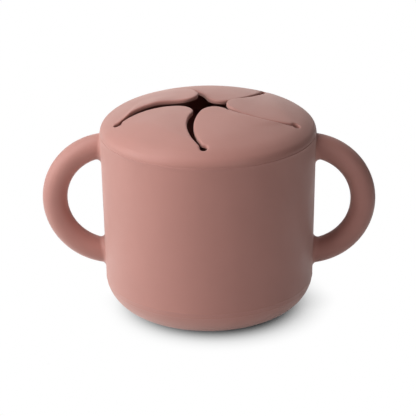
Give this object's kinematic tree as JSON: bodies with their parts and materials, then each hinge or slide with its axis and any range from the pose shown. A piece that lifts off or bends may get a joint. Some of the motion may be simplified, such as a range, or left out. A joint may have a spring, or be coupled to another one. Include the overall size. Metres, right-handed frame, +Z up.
{
  "type": "toddler snack container",
  "caption": "Round soft snack cup with two ring handles and a stretch-on domed lid whose curved slits form flaps a small hand can push through.",
  "frame": {"origin": "centre of the flat base, on the surface the cup stands on", "axes": "+Z up along the cup's axis, +X toward the right-hand handle as the picture shows it, the pictured side faces -Y"},
  "size_m": [0.137, 0.088, 0.0882],
  "materials": {
    "cup_silicone": "matte",
    "lid_silicone": "matte"
  },
  "bodies": {
    "cup": {"cup_body": "cup_silicone", "left_handle": "cup_silicone", "right_handle": "cup_silicone"},
    "lid": {"lid_ring": "lid_silicone"},
    "flap_1": {"flap_1": "lid_silicone"},
    "flap_2": {"flap_2": "lid_silicone"},
    "flap_3": {"flap_3": "lid_silicone"},
    "flap_4": {"flap_4": "lid_silicone"},
    "flap_5": {"flap_5": "lid_silicone"}
  },
  "joints": [
    {"name": "lid_lift", "type": "slide", "parent": "cup", "child": "lid", "axis": [0, 0, 1], "range_m": [0, 0.04]},
    {"name": "flap_1_bend", "type": "hinge", "parent": "lid", "child": "flap_1", "pos_m": [-0.01624, -0.02155, 0.08323], "axis": [0.7986, -0.6018, 0], "range_deg": [-65, 40], "stiffness_Nm_per_rad": 0.03},
    {"name": "flap_2_bend", "type": "hinge", "parent": "lid", "child": "flap_2", "pos_m": [0.01548, -0.0221, 0.08323], "axis": [0.8192, 0.5736, 0], "range_deg": [-65, 40], "stiffness_Nm_per_rad": 0.03},
    {"name": "flap_3_bend", "type": "hinge", "parent": "lid", "child": "flap_3", "pos_m": [0.0258, 0.00789, 0.08323], "axis": [-0.2924, 0.9563, 0], "range_deg": [-65, 40], "stiffness_Nm_per_rad": 0.03},
    {"name": "flap_4_bend", "type": "hinge", "parent": "lid", "child": "flap_4", "pos_m": [0.00047, 0.02698, 0.08323], "axis": [-0.9998, 0.0175, 0], "range_deg": [-65, 40], "stiffness_Nm_per_rad": 0.03},
    {"name": "flap_5_bend", "type": "hinge", "parent": "lid", "child": "flap_5", "pos_m": [-0.02551, 0.00878, 0.08323], "axis": [-0.3256, -0.9455, 0], "range_deg": [-65, 40], "stiffness_Nm_per_rad": 0.03}
  ]
}
